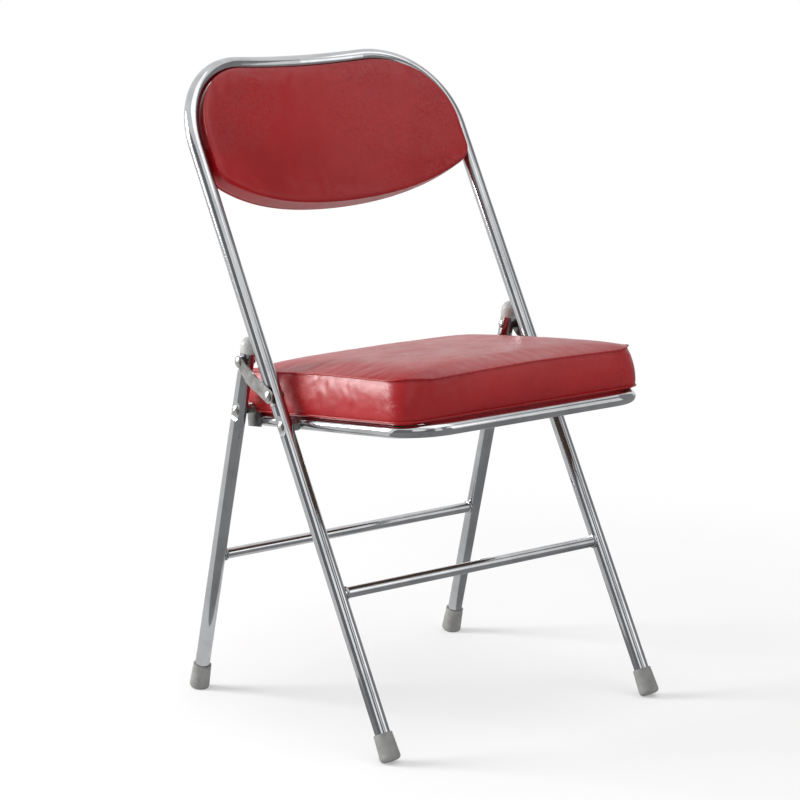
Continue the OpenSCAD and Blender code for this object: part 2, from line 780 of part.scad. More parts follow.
function crown_level(share) = [for (p = seat_ring(top_half_w, top_front, top_rear, 0)) let(
        q = [p[0] * share, top_mid_y + (p[1] - top_mid_y) * share],
        lift = seam_lift * (1 - across(p) * lengthwise(p)))
    [q[0], q[1], cushion_low_z + cushion_side_h + lift + crown_z(q)]];
cushion_levels = concat(
    [flat_level(board_inset - turn_gap, board_z + seat_board_t + turn_gap)],
    [flat_level(board_inset - turn_gap, cushion_low_z)],
    [flat_level(0, cushion_low_z)],
    [for (share = side_shares) side_level(share)],
    [side_level(1)],
    [for (share = crown_shares) crown_level(share)]);
recess_top = [0, top_mid_y, board_z + seat_board_t + turn_gap];
crown_top = [0, top_mid_y, cushion_low_z + cushion_side_h + seam_lift + cushion_crown];

function skin(levels) = [for (k = [0:len(levels) - 2]) for (i = [0:ring_count - 1]) let(
        a = k * ring_count + i,
        b = k * ring_count + (i + 1) % ring_count)
    each [[a, a + ring_count, b], [b, a + ring_count, b + ring_count]]];

module cushion_form() {
    last = (len(cushion_levels) - 1) * ring_count;
    low = len(cushion_levels) * ring_count;
    polyhedron(
        points = concat([for (level = cushion_levels) each level], [recess_top, crown_top]),
        faces = concat(
            skin(cushion_levels),
            [for (i = [0:ring_count - 1]) [low, i, (i + 1) % ring_count]],
            [for (i = [0:ring_count - 1]) [low + 1, last + (i + 1) % ring_count, last + i]]));
}

// Room inside the cushion's lower edge for the ear, the rivet's tail and the spacer
module ear_room() {
    room_top = ear_z + ear_eye_r + turn_gap;
    room_x = ear_inner_x - turn_gap;
    translate([room_x, ear_y - ear_fore - turn_gap, 0])
        cube([tube_inner_x - room_x, ear_fore + ear_eye_r + 2 * turn_gap, room_top]);
    translate([0, ear_y, ear_z])
        along_x(room_x - rivet_tail_h - turn_gap, tube_inner_x, rivet_tail_r + turn_gap);
}

module seat_cushion() {
    color("firebrick") in_seat() difference() {
        cushion_form();
        for (side = [-1, 1]) on_side(side) ear_room();
    }
}

// Backrest: everything follows one bow across the chair
pad_half_w = tube_inner_x - pad_gap;
pad_corner_r = hoop_corner_r - tube_r - pad_gap;
pad_top = frame_length - tube_r - pad_gap / 2;
pad_low_at = pad_top - pad_h;
pad_low_rise = 18;
pad_low_curl = 14;
pad_round = 9;
pad_low_corner = 12;
pad_edge_t = 5;
// Share of the pad's crown that is left at its edges
pad_crown_low = 0.72;
back_gap = 0.1;
pad_wrap = back_board_t + back_gap;
pad_bow_r = (pad_half_w * pad_half_w + pad_sag * pad_sag) / (2 * pad_sag);

function pad_bow(x) = pad_sag - pad_bow_r + sqrt(pad_bow_r * pad_bow_r - x * x);
function corner_rise(over) = over <= 0 ? 0
    : pad_low_corner - sqrt(max(0, pad_low_corner * pad_low_corner - over * over));
function pad_low(x) = pad_low_at + pad_low_rise * pow(x / pad_half_w, 2)
    + pad_low_curl * pow(x / pad_half_w, 4) + corner_rise(abs(x) - pad_half_w + pad_low_corner);
function pad_high(x) = let(over = abs(x) - (pad_half_w - pad_corner_r))
    over <= 0 ? pad_top
    : pad_top - pad_corner_r + sqrt(max(0, pad_corner_r * pad_corner_r - over * over));

// Shares across and up the pad, closer together near its edges
pad_x_shares = [-1, -0.992, -0.975, -0.95, -0.91, -0.84, -0.75, -0.64, -0.5, -0.34, -0.17, 0,
    0.17, 0.34, 0.5, 0.64, 0.75, 0.84, 0.91, 0.95, 0.975, 0.992, 1];
pad_u_shares = [0, 0.015, 0.05, 0.12, 0.25, 0.42, 0.6, 0.76, 0.88, 0.95, 0.985, 1];
pad_columns = len(pad_x_shares);
pad_rows = len(pad_u_shares);

function eased(distance) = distance >= pad_round ? 1
    : sqrt(1 - pow(1 - distance / pad_round, 2));
function pad_front(x, u, share_x, share_u) = let(
        edge_x = pad_half_w * (1 - abs(share_x)),
        edge_u = (pad_high(x) - pad_low(x)) * min(share_u, 1 - share_u),
        hump = 4 * (1 - share_x * share_x) * share_u * (1 - share_u),
        crown = pad_crown_low + (1 - pad_crown_low) * hump)
    pad_edge_t + (pad_t - pad_edge_t) * min(eased(edge_x), eased(edge_u)) * crown;
function pad_point(i, j, front) = let(
        share_x = pad_x_shares[i],
        share_u = pad_u_shares[j],
        x = pad_half_w * share_x,
        u = pad_low(x) + (pad_high(x) - pad_low(x)) * share_u,
        t = front ? pad_front(x, u, share_x, share_u) : -pad_wrap)
    [x, pad_bow(x) - t, u];

module pad_form() {
    n = pad_columns * pad_rows;
    edge = concat([for (i = [0:pad_columns - 2]) i * pad_rows],
        [for (j = [0:pad_rows - 2]) (pad_columns - 1) * pad_rows + j],
        [for (i = [pad_columns - 1:-1:1]) i * pad_rows + pad_rows - 1],
        [for (j = [pad_rows - 1:-1:1]) j]);
    edge_count = len(edge);
    polyhedron(
        points = concat(
            [for (i = [0:pad_columns - 1]) for (j = [0:pad_rows - 1]) pad_point(i, j, true)],
            [for (i = [0:pad_columns - 1]) for (j = [0:pad_rows - 1]) pad_point(i, j, false)]),
        faces = concat(
            [for (i = [0:pad_columns - 2]) for (j = [0:pad_rows - 2]) let(
                a = i * pad_rows + j,
                b = a + pad_rows)
                each [[a, a + 1, b + 1], [a, b + 1, b],
                    [n + a, n + b + 1, n + a + 1], [n + a, n + b, n + b + 1]]],
            [for (k = [0:edge_count - 1]) let(
                a = edge[k],
                b = edge[(k + 1) % edge_count])
                each [[a, b, n + b], [a, n + b, n + a]]]));
}

// The pad wraps the board, which lies in a recess in its back
module backrest_pad() {
    color("firebrick") in_front() difference() {
        pad_form();
        bowed_plate(0, 2 * back_board_t, back_board_inset - turn_gap);
    }
}

// Band of the backrest's bow between two depths behind its middle surface
module bow_band(front, back) {
    centre = pad_sag - pad_bow_r;
    translate([0, 0, pad_low_at - pad_round]) linear_extrude(pad_top - pad_low_at + 2 * pad_round)
        intersection() {
            translate([0, centre]) difference() {
                circle(r = pad_bow_r + back, $fn = 180);
                circle(r = pad_bow_r + front, $fn = 180);
            }
            translate([-pad_half_w, -pad_sag]) square([2 * pad_half_w, 3 * pad_sag]);
        }
}

// Outline of the backrest seen from the front, drawn in by an inset
low_steps = 20;
module pad_outline(inset) {
    half = pad_half_w - inset;
    r = pad_corner_r - inset;
    shoulder = pad_top - inset - r;
    intersection() {
        union() {
            for (side = [-1, 1]) translate([side * (half - r), shoulder]) circle(r = r);
            translate([r - half, shoulder]) square([2 * (half - r), r]);
            translate([-half, pad_low_at]) square([2 * half, shoulder - pad_low_at]);
        }
        polygon(concat(
            [for (i = [-low_steps:low_steps]) let(x = half * i / low_steps)
                [x, pad_low(x) + inset]],
            [[half, pad_top], [-half, pad_top]]));
    }
}

module bowed_plate(front, back, inset) {
    intersection() {
        bow_band(front, back);
        translate([0, 2 * pad_sag + pad_round, 0]) rotate([90, 0, 0])
            linear_extrude(4 * pad_sag) pad_outline(inset);
    }
}

board_back = back_gap + back_board_t;
panel_front = board_back + back_gap;
panel_back = panel_front + back_panel_t;
back_board_inset = 4;
back_panel_inset = 1;

// Steel tabs welded inside the hoop's sides, screwed to the backrest from behind
back_tab_t = 2;
back_tab_h = 34;
back_tab_w = 30;
back_tab_low = 6;
back_tab_x = pad_half_w - back_tab_w / 3;
back_tab_u = pad_low(pad_half_w) + back_tab_low;
back_tab_slope = asin(back_tab_x / pad_bow_r);
back_screw_share = 0.3;
back_screw_grip = 7;

module at_back_tabs() {
    for (side = [-1, 1]) on_side(side)
        translate([back_tab_x, pad_bow(back_tab_x), back_tab_u + back_tab_h / 2])
        rotate([0, 0, -back_tab_slope]) translate([0, panel_back + back_gap, 0]) children();
}

module at_back_screws() {
    at_back_tabs() for (level = [-1, 1])
        translate([-back_tab_w / 4, 0, level * back_screw_share * back_tab_h]) rotate([90, 0, 0])
        children();
}

// Solid form of the hoop's sides and their bends, which the tabs are cut to
module hoop_room() {
    room_d = tube_od + 2 * fit_gap;
    for (side = [-1, 1]) on_side(side)
        translate([bow_half, hoop_corner_r * sin(hoop_bow), frame_length])
        rotate([0, 0, -hoop_bow]) {
            rotate([90, 0, 0]) translate([0, -hoop_corner_r, 0])
                rotate_extrude(angle = 90, $fn = 96) translate([hoop_corner_r, 0])
                circle(d = room_d);
            translate([hoop_corner_r, 0, -hoop_corner_r]) mirror([0, 0, 1])
                cylinder(h = hoop_start - pad_low_at, d = room_d);
        }
}

module backrest_tabs() {
    color("silver") in_front() difference() {
        at_back_tabs() translate([-back_tab_w / 2, 0, -back_tab_h / 2])
            cube([back_tab_w, back_tab_t, back_tab_h]);
        at_back_screws() translate([0, 0, -back_tab_t - overrun])
            cylinder(h = back_tab_t + 2 * overrun, r = screw_r + fit_gap);
        hoop_room();
    }
}

module backrest_screws() {
    color("lightgray") in_front() at_back_screws()
        translate([0, 0, -back_tab_t - fit_gap]) pan_screw(back_tab_t + fit_gap + back_screw_grip);
}

module back_screw_holes() {
    at_back_screws() translate([0, 0, -overrun])
        cylinder(h = back_screw_grip + 2 * overrun, r = screw_r + fit_gap);
}

module backrest_board() {
    color("tan") in_front() difference() {
        bowed_plate(back_gap, board_back, back_board_inset);
        back_screw_holes();
    }
}

module backrest_rear_panel() {
    color("firebrick") in_front() difference() {
        bowed_plate(panel_front, panel_back, back_panel_inset);
        back_screw_holes();
    }
}

front_frame();
front_stretcher();
backrest_pad();
backrest_board();
backrest_rear_panel();
backrest_tabs();
backrest_screws();
front_foot(1);  // front_foot_left
front_foot(-1);  // front_foot_right
link_pivot_rivets();
link_pivot_washers();
seat_pivot_rivets();
seat_pivot_spacers();
rear_leg(1);  // rear_leg_left
rear_leg(-1);  // rear_leg_right
rear_stretcher();
rear_cap(1);  // rear_cap_left
rear_cap(-1);  // rear_cap_right
rear_foot(1);  // rear_foot_left
rear_foot(-1);  // rear_foot_right
leg_rivet_tails();
leg_washers();
seat_frame();
seat_ear(1);  // seat_ear_left
seat_ear(-1);  // seat_ear_right
seat_board();
seat_cushion();
seat_tabs();
seat_screws();
leg_pivot_rivets();
leg_pivot_spacers();
link(1);  // link_left
link(-1);  // link_right
link_rivet(1);  // link_rivet_left
link_rivet(-1);  // link_rivet_right
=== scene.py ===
import json
import math

import bpy
import numpy as np
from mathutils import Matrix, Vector, noise


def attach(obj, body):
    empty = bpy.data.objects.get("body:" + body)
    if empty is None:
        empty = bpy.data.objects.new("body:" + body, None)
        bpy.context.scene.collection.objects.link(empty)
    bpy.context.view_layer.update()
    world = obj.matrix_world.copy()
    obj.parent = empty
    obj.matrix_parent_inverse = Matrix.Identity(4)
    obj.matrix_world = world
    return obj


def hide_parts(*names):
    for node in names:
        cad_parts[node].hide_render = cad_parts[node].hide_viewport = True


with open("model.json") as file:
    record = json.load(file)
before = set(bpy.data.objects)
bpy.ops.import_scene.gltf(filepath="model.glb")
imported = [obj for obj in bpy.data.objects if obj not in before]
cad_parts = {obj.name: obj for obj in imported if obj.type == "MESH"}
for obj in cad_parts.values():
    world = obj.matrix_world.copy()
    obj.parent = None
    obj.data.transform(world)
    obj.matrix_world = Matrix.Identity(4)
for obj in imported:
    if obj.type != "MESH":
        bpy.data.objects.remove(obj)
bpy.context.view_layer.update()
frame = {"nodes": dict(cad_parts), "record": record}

nodes = frame["nodes"]
print("frame loaded:", len(nodes), "nodes")

camera = {"place": (-2.2751, -2.7869, 1.1065), "target": (0.0, 0.02142, 0.37835),
          "lens": 129.26, "sensor": 36.0}


def makeCamera(s):
    data = bpy.data.cameras.new("photoCamera")
    data.lens, data.sensor_width = s["lens"], s["sensor"]
    view = bpy.data.objects.new("photoCamera", data)
    view.location = s["place"]
    gaze = Vector(s["target"]) - Vector(s["place"])
    view.rotation_euler = gaze.to_track_quat("-Z", "Y").to_euler()
    bpy.context.scene.collection.objects.link(view)
    bpy.context.scene.camera = view


makeCamera(camera)
print("camera placed")


class Wire:
    # one output socket; adding or multiplying wires makes their Math nodes
    def __init__(self, tree, socket):
        self.tree, self.socket = tree, socket

    def maths(self, operation, a, b):
        return self.tree.add("ShaderNodeMath", {"operation": operation}, {0: a, 1: b})

    def __add__(self, other):
        return self.maths("ADD", self, other)

    def __sub__(self, other):
        return self.maths("SUBTRACT", self, other)

    def __rsub__(self, other):
        return self.maths("SUBTRACT", other, self)

    def __mul__(self, other):
        return self.maths("MULTIPLY", self, other)

    def __abs__(self):
        return self.maths("ABSOLUTE", self, 0.0)

    __radd__ = __add__
    __rmul__ = __mul__


class Tree:
    # the node tree of a material or of the world
    def __init__(self, owner):
        owner.use_nodes = True
        self.nodes, self.links = owner.node_tree.nodes, owner.node_tree.links
        self.nodes.clear()

    def add(self, kind, settings=None, sockets=None, out=0):
        node = self.nodes.new(kind)
        for name, value in (settings or {}).items():
            setattr(node, name, value)
        for name, value in (sockets or {}).items():
            if isinstance(value, Wire):
                self.links.new(value.socket, node.inputs[name])
            else:
                node.inputs[name].default_value = value
        return Wire(self, node.outputs[out]) if len(node.outputs) else node

    def place(self, scale=(1.0, 1.0, 1.0), turn=(0.0, 0.0, 0.0)):
        spot = self.add("ShaderNodeTexCoord", out="Object")
        return self.add("ShaderNodeMapping", {}, {"Vector": spot, "Scale": scale,
                                                  "Rotation": turn})

    def noise(self, scale, detail=3.0, rough=0.5, vector=None, twist=0.0):
        return self.add("ShaderNodeTexNoise", {}, {
            "Vector": vector or self.place(), "Scale": scale, "Detail": detail,
            "Roughness": rough, "Distortion": twist})

    def cells(self, scale, feature="F1"):
        return self.add("ShaderNodeTexVoronoi", {"feature": feature}, {
            "Vector": self.place(), "Scale": scale})

    def fade(self, value, low, high, outLow=0.0, outHigh=1.0):
        return self.add("ShaderNodeMapRange", {"interpolation_type": "SMOOTHSTEP"}, {
            "Value": value, "From Min": low, "From Max": high,
            "To Min": outLow, "To Max": outHigh})

    def blend(self, share, a, b):
        # in RGBA mode the Mix node's colours are sockets 6 and 7, and its result is 2
        return self.add("ShaderNodeMix", {"data_type": "RGBA"}, {0: share, 6: a, 7: b}, 2)

    def bump(self, height, strength, depth, under=None):
        sockets = {"Height": height, "Strength": strength, "Distance": depth}
        if under:
            sockets["Normal"] = under
        return self.add("ShaderNodeBump", {}, sockets)

    def surface(self, **sockets):
        # one keyword for each of the shader's sockets that is used here
        names = {"colour": "Base Color", "roughness": "Roughness", "metallic": "Metallic",
                 "normal": "Normal", "coat": "Coat Weight", "coatRough": "Coat Roughness",
                 "specular": "Specular IOR Level"}
        return self.add("ShaderNodeBsdfPrincipled", {},
                        {names[name]: value for name, value in sockets.items()})


def colour(red, green, blue):
    # screen values of 0-255 to Blender's linear ones
    def linear(v):
        v = v / 255.0
        return v / 12.92 if v <= 0.04045 else ((v + 0.055) / 1.055) ** 2.4
    return (linear(red), linear(green), linear(blue), 1.0)


def makeMaterial(name, build, s):
    made = bpy.data.materials.new(name)
    tree = Tree(made)
    tree.add("ShaderNodeOutputMaterial", {}, {"Surface": build(tree, s)})
    return made


redVinyl = {"red": colour(154, 15, 22), "deep": colour(143, 10, 17),
            "worn": colour(168, 38, 40), "wornShare": 0.15, "roughness": (0.31, 0.39),
            "crease": {"scale": 120.0, "stretch": (1.0, 0.5, 1.3), "turn": (0.3, 0.2, 0.6),
                       "twist": 1.2, "half": 0.05, "depth": 0.0003},
            "grain": {"scale": 1900.0, "depth": 0.00012}, "softDepth": 0.001,
            "coat": 0.05, "coatRough": 0.2, "specular": 0.34}


def buildVinyl(t, s):
    # a red that drifts a little, paler where it is rubbed, with fine leather grain
    drift = t.fade(t.noise(8.0, 3.0, 0.5), 0.35, 0.68)
    rub = t.fade(t.noise(70.0, 4.0, 0.65), 0.56, 0.82) * s["wornShare"]
    tone = t.blend(rub, t.blend(drift, s["red"], s["deep"]), s["worn"])
    c = s["crease"]
    # a crease runs where this noise crosses its middle
    lines = abs(t.noise(c["scale"], 4.0, 0.6, t.place(c["stretch"], c["turn"]),
                        c["twist"]) - 0.5)
    where = t.fade(t.noise(11.0, 2.0, 0.5), 0.4, 0.6)
    creases = t.bump(t.fade(lines, 0.0, c["half"]) * where, 0.6, c["depth"])
    soft = t.bump(t.noise(26.0, 2.0, 0.5), 0.05, s["softDepth"], creases)
    grain = t.bump(t.cells(s["grain"]["scale"]), 0.1, s["grain"]["depth"], soft)
    rough = t.fade(t.noise(30.0, 4.0, 0.6), 0.3, 0.75, *s["roughness"])
    return t.surface(colour=tone, roughness=rough, normal=grain, coat=s["coat"],
                     coatRough=s["coatRough"], specular=s["specular"])


chrome = {"bright": colour(197, 198, 200), "dull": colour(174, 175, 178),
          "spot": colour(120, 112, 102), "spotShare": 0.6, "spotRough": 0.25,
          "roughness": (0.08, 0.16), "hairDepth": 0.00006, "rippleDepth": 0.0006}


def buildChrome(t, s):
    # plate with faint haze, hairline scratches and a few dull specks
    haze = t.fade(t.noise(16.0, 4.0, 0.6), 0.38, 0.72)
    specks = t.fade(t.noise(420.0, 2.0, 0.5), 0.72, 0.8)
    tone = t.blend(specks * s["spotShare"], t.blend(haze, s["bright"], s["dull"]),
                   s["spot"])
    hairs = t.noise(90.0, 3.0, 0.6, t.place((26.0, 1.0, 1.0), (0.5, 0.0, 0.0)))
    rough = t.fade(haze, 0.0, 1.0, *s["roughness"]) + specks * s["spotRough"]
    ripple = t.bump(t.noise(22.0, 1.0, 0.4), 0.08, s["rippleDepth"])
    return t.surface(colour=tone, roughness=rough, metallic=1.0,
                     normal=t.bump(hairs, 0.03, s["hairDepth"], ripple))


zinc = {"bright": colour(170, 169, 167), "dull": colour(128, 127, 125),
        "stain": colour(104, 100, 94), "stainShare": 0.5, "roughness": (0.16, 0.3),
        "metal": 0.9, "rollDepth": 0.0001}


def buildZinc(t, s):
    # pressed plate: cloudy plating, rolled grain and stains in its hollows
    cloud = t.fade(t.noise(60.0, 4.0, 0.62), 0.32, 0.7)
    stain = t.fade(t.noise(150.0, 4.0, 0.7), 0.58, 0.8) * s["stainShare"]
    tone = t.blend(stain, t.blend(cloud, s["bright"], s["dull"]), s["stain"])
    rolled = t.noise(300.0, 3.0, 0.6, t.place((1.0, 9.0, 1.0), (0.9, 0.0, 0.0)))
    rough = t.fade(t.noise(90.0, 3.0, 0.6), 0.3, 0.72, *s["roughness"])
    return t.surface(colour=tone, roughness=rough, metallic=s["metal"],
                     normal=t.bump(rolled, 0.12, s["rollDepth"]))


rivetSteel = {"bright": colour(190, 189, 186), "dull": colour(138, 136, 131),
              "roughness": (0.14, 0.34), "dentDepth": 0.00015}


def buildRivet(t, s):
    # peened steel, dulled round the head
    marks = t.fade(t.noise(520.0, 3.0, 0.6), 0.35, 0.7)
    tone = t.blend(marks, s["bright"], s["dull"])
    dents = t.bump(t.cells(700.0, "SMOOTH_F1"), 0.25, s["dentDepth"])
    return t.surface(colour=tone, roughness=t.fade(marks, 0.0, 1.0, *s["roughness"]),
                     metallic=1.0, normal=dents)


greyRubber = {"grey": colour(138, 138, 136), "dark": colour(122, 122, 120),
              "dust": colour(156, 155, 151), "dustShare": 0.2, "scuffHeight": 0.008,
              "roughness": (0.45, 0.62), "grainDepth": 0.00015}


def buildRubber(t, s):
    # moulded rubber: dusty on its skin and scuffed darker low down
    body = t.fade(t.noise(70.0, 4.0, 0.6), 0.35, 0.7)
    dust = t.fade(t.noise(380.0, 3.0, 0.6), 0.5, 0.75) * s["dustShare"]
    height = t.add("ShaderNodeSeparateXYZ", {}, {"Vector": t.place()}, "Z")
    scuff = ((1.0 - t.fade(height, 0.0, s["scuffHeight"]))
             * t.fade(t.noise(200.0, 4.0, 0.7), 0.4, 0.7))
    tone = t.blend(dust, t.blend(body, s["grey"], s["dark"]), s["dust"])
    tone = t.blend(scuff, tone, s["dark"])
    return t.surface(colour=tone, roughness=t.fade(body, 0.0, 1.0, *s["roughness"]),
                     normal=t.bump(t.noise(900.0, 3.0, 0.6), 0.1, s["grainDepth"]))


palePlastic = {"pale": colour(172, 172, 169), "shade": colour(156, 155, 151),
               "roughness": (0.3, 0.48), "peelDepth": 0.00012}


def buildPlastic(t, s):
    # moulded plastic with a slight orange peel and handling marks
    marks = t.fade(t.noise(120.0, 4.0, 0.65), 0.42, 0.74)
    return t.surface(colour=t.blend(marks, s["pale"], s["shade"]),
                     roughness=t.fade(t.noise(60.0, 3.0, 0.6), 0.3, 0.7, *s["roughness"]),
                     normal=t.bump(t.noise(800.0, 2.0, 0.5), 0.12, s["peelDepth"]))


blackPlastic = {"pale": colour(26, 26, 27), "shade": colour(52, 51, 50),
                "roughness": (0.38, 0.6), "peelDepth": 0.00012}

plywood = {"pale": colour(104, 78, 56), "dark": colour(78, 55, 39),
           "line": colour(52, 36, 26), "lineShare": 0.5, "roughness": (0.55, 0.72),
           "stretch": (3.0, 42.0, 42.0), "grainDepth": 0.0003}


def buildPlywood(t, s):
    # long grain across the board, with pores and a few darker rings
    along = t.place(s["stretch"])
    grain = t.noise(6.0, 6.0, 0.65, along, 0.6)
    rings = t.fade(abs(t.noise(1.6, 2.0, 0.5, along, 1.5) - 0.5), 0.0, 0.06)
    tone = t.blend(t.fade(grain, 0.3, 0.72), s["pale"], s["dark"])
    tone = t.blend((1.0 - rings) * s["lineShare"], tone, s["line"])
    return t.surface(colour=tone, roughness=t.fade(grain, 0.2, 0.8, *s["roughness"]),
                     normal=t.bump(grain, 0.25, s["grainDepth"]))


finishes = {
    "red_vinyl": makeMaterial("redVinyl", buildVinyl, redVinyl),
    "chromed_tube": makeMaterial("chrome", buildChrome, chrome),
    "plated_plate": makeMaterial("zinc", buildZinc, zinc),
    "plated_rivet": makeMaterial("rivetSteel", buildRivet, rivetSteel),
    "grey_rubber": makeMaterial("greyRubber", buildRubber, greyRubber),
    "pale_plastic": makeMaterial("palePlastic", buildPlastic, palePlastic),
    "black_plastic": makeMaterial("blackPlastic", buildPlastic, blackPlastic),
    "plywood": makeMaterial("plywood", buildPlywood, plywood),
}

slots = {part["node"]: part["material_slot"] for part in frame["record"]["subparts"]}
for name, node in nodes.items():
    for slot in node.material_slots:
        slot.material = finishes[slots[name]]
    if not node.material_slots:
        node.data.materials.append(finishes[slots[name]])
print("finishes made:", len(finishes))

# the tilted frames that the seat and the back are drawn in: metres, x across, y back
seatPlane = {"tilt": 5.9, "y": -0.018811, "z": 0.37935}
backPlane = {"tilt": 28.9, "y": -0.227395, "z": 0.0015}


def toChair(points, plane):
    turn = math.radians(plane["tilt"])
    x, y, z = np.asarray(points, float).T
    return np.c_[x, plane["y"] + y * math.cos(turn) + z * math.sin(turn),
                 plane["z"] - y * math.sin(turn) + z * math.cos(turn)]


def makePiece(name, points, faces, body, slot="red_vinyl"):
    mesh = bpy.data.meshes.new(name)
    mesh.from_pydata([tuple(p) for p in points], [], faces)
    mesh.update()
    mesh.materials.append(finishes[slot])
    mesh.polygons.foreach_set("use_smooth", [True] * len(mesh.polygons))
    piece = bpy.data.objects.new(name, mesh)
    bpy.context.scene.collection.objects.link(piece)
    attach(piece, body)
    return piece


def arc(x, y, r, start, end, steps=24):
    turn = np.radians(np.linspace(start, end, steps))
    return np.c_[x + r * np.cos(turn), y + r * np.sin(turn)]


def evenly(line, count):
    # the same line in equal steps along its length
    line = np.asarray(line)
    run = np.r_[0.0, np.cumsum(np.linalg.norm(np.diff(line, axis=0), axis=1))]
    at = np.linspace(0.0, run[-1], count + 1)
    return np.c_[np.interp(at, run, line[:, 0]), np.interp(at, run, line[:, 1])]


def patch(low, right, high, left):
    # points between four edge lines, which run round the patch in one direction
    s = np.linspace(0.0, 1.0, len(low))[:, None, None]
    t = np.linspace(0.0, 1.0, len(right))[None, :, None]
    high, left = high[::-1], left[::-1]
    sides = (1 - t) * low[:, None] + t * high[:, None]
    ends = (1 - s) * left[None] + s * right[None]
    corners = ((1 - s) * (1 - t) * low[0] + s * (1 - t) * low[-1]
               + (1 - s) * t * high[0] + s * t * high[-1])
    return sides + ends - corners


def patchFaces(across, along, first=0, flip=False):
    faces = []
    for i in range(across):
        for j in range(along):
            a = first + i * (along + 1) + j
            face = (a, a + along + 1, a + along + 2, a + 1)
            faces.append(face[::-1] if flip else face)
    return faces


def rimOf(across, along, first=0):
    # the patch's edge, once round, in the direction of its edge lines
    step = along + 1
    low = [first + i * step for i in range(across)]
    right = [first + across * step + j for j in range(along)]
    high = [first + i * step + along for i in range(across, 0, -1)]
    left = [first + j for j in range(along, 0, -1)]
    return low + right + high + left


def ringFaces(a, b):
    count = len(a)
    return [(a[i], a[(i + 1) % count], b[(i + 1) % count], b[i]) for i in range(count)]


def ringOf(sides):
    return np.concatenate([side[:-1] for side in sides])


def edgeDistance(flat, ring):
    return np.linalg.norm(flat[:, None] - ring[None], axis=2).min(axis=1)


def ripples(points, scale, seed, stretch=(1.0, 1.0, 1.0)):
    # soft noise of -1 to 1 at each point
    return np.array([noise.noise(Vector((p[0] * scale * stretch[0] + seed,
                                         p[1] * scale * stretch[1] - seed,
                                         p[2] * scale * stretch[2]))) for p in points])


def normalsOf(piece):
    out = np.empty(len(piece.data.vertices) * 3)
    piece.data.vertices.foreach_get("normal", out)
    return out.reshape(-1, 3)


def pointsOf(piece):
    out = np.empty(len(piece.data.vertices) * 3)
    piece.data.vertices.foreach_get("co", out)
    return out.reshape(-1, 3)


def setPoints(piece, points):
    piece.data.vertices.foreach_set("co", np.asarray(points, float).ravel())
    piece.data.update()


cover = {"quality": 6, "mass": 0.25, "steps": 20}


def puff(piece, held, s):
    # blows the cover up between its held seams, then keeps each move under a cap
    before = pointsOf(piece)
    pins = piece.vertex_groups.new(name="held")
    pins.add([int(i) for i in held], 1.0, "REPLACE")
    cloth = piece.modifiers.new("cover", "CLOTH")
    cloth.settings.quality, cloth.settings.mass = cover["quality"], cover["mass"]
    cloth.settings.tension_stiffness = cloth.settings.compression_stiffness = s["stiffness"]
    cloth.settings.bending_stiffness = s["bending"]
    cloth.settings.shrink_min = -s["slack"]
    cloth.settings.use_pressure = True
    cloth.settings.uniform_pressure_force = s["pressure"]
    cloth.settings.vertex_group_mass = "held"
    cloth.settings.effector_weights.gravity = 0.0
    cloth.collision_settings.use_collision = False
    scene = bpy.context.scene
    for step in range(cover["steps"]):
        scene.frame_set(step + 1)
    shaped = piece.evaluated_get(bpy.context.evaluated_depsgraph_get())
    after = np.empty(len(before) * 3)
    shaped.data.vertices.foreach_get("co", after)
    piece.modifiers.remove(cloth)
    piece.vertex_groups.remove(pins)
    scene.frame_set(1)
    move = after.reshape(-1, 3) - before
    size = np.linalg.norm(move, axis=1, keepdims=True)
    cap = s["cap"] * np.tanh(size / s["cap"]) / np.maximum(size, 1e-9)
    setPoints(piece, before + move * cap)
    print("puffed", piece.name, "largest move %.1f mm" % (1000 * float((size * cap).max())))


def smoothed(piece):
    smooth = piece.modifiers.new("smooth", "SUBSURF")
    smooth.levels = smooth.render_levels = 1


welt = {"sides": 8, "wander": 0.12, "beat": 90.0, "seed": 3.0}


def makeWelt(name, path, radius, body, s):
    # a thin sewn cord along a closed path
    path = np.asarray(path)
    ahead = np.roll(path, -1, axis=0) - np.roll(path, 1, axis=0)
    ahead /= np.linalg.norm(ahead, axis=1, keepdims=True)
    out = np.cross(ahead, (0.0, 0.0, 1.0))
    out /= np.linalg.norm(out, axis=1, keepdims=True)
    up = np.cross(out, ahead)
    size = radius * (1.0 + s["wander"] * ripples(path, s["beat"], s["seed"]))[:, None]
    sides = s["sides"]
    turns = [2 * math.pi * k / sides for k in range(sides)]
    rings = [path + size * (math.cos(a) * out + math.sin(a) * up) for a in turns]
    count = len(path)
    points = np.concatenate(rings)
    faces = []
    for k in range(sides):
        a = [k * count + i for i in range(count)]
        b = [(k + 1) % sides * count + i for i in range(count)]
        faces += [face[::-1] for face in ringFaces(a, b)]
    return makePiece(name, points, faces, body)


